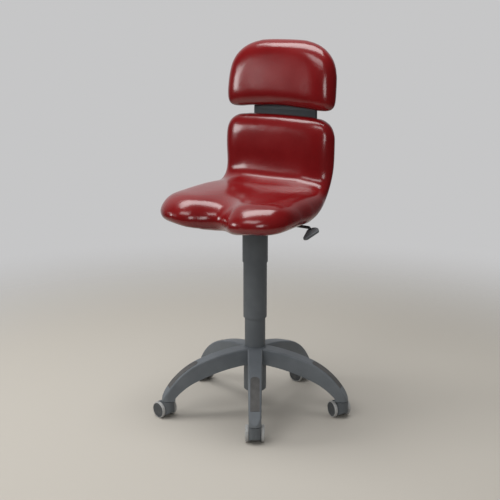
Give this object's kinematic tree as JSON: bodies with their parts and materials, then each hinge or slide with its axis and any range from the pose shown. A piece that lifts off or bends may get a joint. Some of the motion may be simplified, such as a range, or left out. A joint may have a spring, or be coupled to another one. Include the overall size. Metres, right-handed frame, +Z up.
{
  "type": "dental operator stool",
  "caption": "Height-adjustable operator stool: five-arm caster base, telescopic gas column, split-front seat with joined lower back, upper back pad on a bar.",
  "frame": {"origin": "on the floor, on the column's axis", "axes": "+Z up along the column; the sitter faces -Y; the lever is on +X, the sitter's left"},
  "size_m": [0.5985, 0.5633, 1.1339],
  "materials": {
    "slate_plastic": "satin, moulded",
    "insert_rubber": "matt",
    "wheel_plastic": "satin",
    "tyre_rubber": "matt, light grey",
    "black_steel": "satin black",
    "plain_steel": "ground",
    "slate_steel": "satin powder coat",
    "guide_plastic": "natural",
    "buffer_rubber": "matt",
    "shell_plastic": "fine texture",
    "paddle_plastic": "satin",
    "leatherette": "glossy, smooth"
  },
  "bodies": {
    "base": {"star_base": "slate_plastic", "grip_inserts": "insert_rubber", "stand_tube": "black_steel", "guide_bush": "guide_plastic", "thrust_bearing": "plain_steel", "cover_lower": "slate_plastic"},
    "lift_rod": {"piston_rod": "plain_steel", "retaining_clip": "plain_steel", "rubber_buffer": "buffer_rubber"},
    "seat": {"gas_cylinder": "black_steel", "cover_upper": "slate_plastic", "seat_plate": "black_steel", "lever_pin": "plain_steel", "underseat_cover": "shell_plastic", "seat_shell": "shell_plastic", "seat_cushion": "leatherette", "back_bar": "slate_steel", "seat_screws": "plain_steel", "bar_screws": "plain_steel"},
    "middle_cover": {"cover_middle": "slate_plastic"},
    "lever": {"lever_shaft": "black_steel", "lever_paddle": "paddle_plastic"},
    "valve_pin": {"release_pin": "plain_steel"},
    "upper_back": {"upper_pad": "leatherette", "back_carrier": "shell_plastic"},
    "caster_1": {"caster_1_hood": "slate_plastic", "caster_1_stem": "black_steel", "caster_1_axle": "plain_steel"},
    "caster_1_left": {"caster_1_left_wheel": "wheel_plastic", "caster_1_left_tyre": "tyre_rubber"},
    "caster_1_right": {"caster_1_right_wheel": "wheel_plastic", "caster_1_right_tyre": "tyre_rubber"},
    "caster_2": {"caster_2_hood": "slate_plastic", "caster_2_stem": "black_steel", "caster_2_axle": "plain_steel"},
    "caster_2_left": {"caster_2_left_wheel": "wheel_plastic", "caster_2_left_tyre": "tyre_rubber"},
    "caster_2_right": {"caster_2_right_wheel": "wheel_plastic", "caster_2_right_tyre": "tyre_rubber"},
    "caster_3": {"caster_3_hood": "slate_plastic", "caster_3_stem": "black_steel", "caster_3_axle": "plain_steel"},
    "caster_3_left": {"caster_3_left_wheel": "wheel_plastic", "caster_3_left_tyre": "tyre_rubber"},
    "caster_3_right": {"caster_3_right_wheel": "wheel_plastic", "caster_3_right_tyre": "tyre_rubber"},
    "caster_4": {"caster_4_hood": "slate_plastic", "caster_4_stem": "black_steel", "caster_4_axle": "plain_steel"},
    "caster_4_left": {"caster_4_left_wheel": "wheel_plastic", "caster_4_left_tyre": "tyre_rubber"},
    "caster_4_right": {"caster_4_right_wheel": "wheel_plastic", "caster_4_right_tyre": "tyre_rubber"},
    "caster_5": {"caster_5_hood": "slate_plastic", "caster_5_stem": "black_steel", "caster_5_axle": "plain_steel"},
    "caster_5_left": {"caster_5_left_wheel": "wheel_plastic", "caster_5_left_tyre": "tyre_rubber"},
    "caster_5_right": {"caster_5_right_wheel": "wheel_plastic", "caster_5_right_tyre": "tyre_rubber"}
  },
  "joints": [
    {"name": "seat_swivel", "type": "hinge", "parent": "base", "child": "lift_rod", "pos_m": [0, 0, 0.3], "axis": [0, 0, 1], "continuous": true},
    {"name": "seat_lift", "type": "slide", "parent": "lift_rod", "child": "seat", "axis": [0, 0, 1], "range_m": [-0.18, 0]},
    {"name": "middle_cover_slide", "type": "slide", "parent": "base", "child": "middle_cover", "axis": [0, 0, 1], "range_m": [-0.09, 0]},
    {"name": "lever_pull", "type": "hinge", "parent": "seat", "child": "lever", "pos_m": [0.07, 0, 0.602], "axis": [0, -1, 0], "range_deg": [0, 2], "stiffness_Nm_per_rad": 12},
    {"name": "valve_press", "type": "slide", "parent": "seat", "child": "valve_pin", "axis": [0, 0, 1], "range_m": [-0.0026, 0]},
    {"name": "back_height", "type": "slide", "parent": "seat", "child": "upper_back", "axis": [0, 0.1132, 0.9936], "range_m": [-0.012, 0.045]},
    {"name": "caster_1_swivel", "type": "hinge", "parent": "base", "child": "caster_1", "pos_m": [0, 0.28, 0.054], "axis": [0, 0, 1], "continuous": true},
    {"name": "caster_1_left_roll", "type": "hinge", "parent": "caster_1", "child": "caster_1_left", "pos_m": [-0.016, 0.28, 0.025], "axis": [0, 1, 0], "continuous": true},
    {"name": "caster_1_right_roll", "type": "hinge", "parent": "caster_1", "child": "caster_1_right", "pos_m": [-0.016, 0.28, 0.025], "axis": [0, 1, 0], "continuous": true},
    {"name": "caster_2_swivel", "type": "hinge", "parent": "base", "child": "caster_2", "pos_m": [-0.2663, 0.08653, 0.054], "axis": [0, 0, 1], "continuous": true},
    {"name": "caster_2_left_roll", "type": "hinge", "parent": "caster_2", "child": "caster_2_left", "pos_m": [-0.28182, 0.0904, 0.025], "axis": [0.2419, 0.9703, 0], "continuous": true},
    {"name": "caster_2_right_roll", "type": "hinge", "parent": "caster_2", "child": "caster_2_right", "pos_m": [-0.28182, 0.0904, 0.025], "axis": [0.2419, 0.9703, 0], "continuous": true},
    {"name": "caster_3_swivel", "type": "hinge", "parent": "base", "child": "caster_3", "pos_m": [-0.16458, -0.22653, 0.054], "axis": [0, 0, 1], "continuous": true},
    {"name": "caster_3_left_roll", "type": "hinge", "parent": "caster_3", "child": "caster_3_left", "pos_m": [-0.18038, -0.22402, 0.025], "axis": [0.1564, 0.9877, 0], "continuous": true},
    {"name": "caster_3_right_roll", "type": "hinge", "parent": "caster_3", "child": "caster_3_right", "pos_m": [-0.18038, -0.22402, 0.025], "axis": [0.1564, 0.9877, 0], "continuous": true},
    {"name": "caster_4_swivel", "type": "hinge", "parent": "base", "child": "caster_4", "pos_m": [0.16458, -0.22653, 0.054], "axis": [0, 0, 1], "continuous": true},
    {"name": "caster_4_left_roll", "type": "hinge", "parent": "caster_4", "child": "caster_4_left", "pos_m": [0.15518, -0.21358, 0.025], "axis": [0.809, 0.5878, 0], "continuous": true},
    {"name": "caster_4_right_roll", "type": "hinge", "parent": "caster_4", "child": "caster_4_right", "pos_m": [0.15518, -0.21358, 0.025], "axis": [0.809, 0.5878, 0], "continuous": true},
    {"name": "caster_5_swivel", "type": "hinge", "parent": "base", "child": "caster_5", "pos_m": [0.2663, 0.08653, 0.054], "axis": [0, 0, 1], "continuous": true},
    {"name": "caster_5_left_roll", "type": "hinge", "parent": "caster_5", "child": "caster_5_left", "pos_m": [0.25204, 0.09379, 0.025], "axis": [0.454, 0.891, 0], "continuous": true},
    {"name": "caster_5_right_roll", "type": "hinge", "parent": "caster_5", "child": "caster_5_right", "pos_m": [0.25204, 0.09379, 0.025], "axis": [0.454, 0.891, 0], "continuous": true}
  ],
  "couplings": [
    {"joint": "middle_cover_slide", "follows": "seat_lift", "ratio": 0.5},
    {"joint": "valve_press", "follows": "lever_pull", "m_per_rad": -0.07}
  ]
}
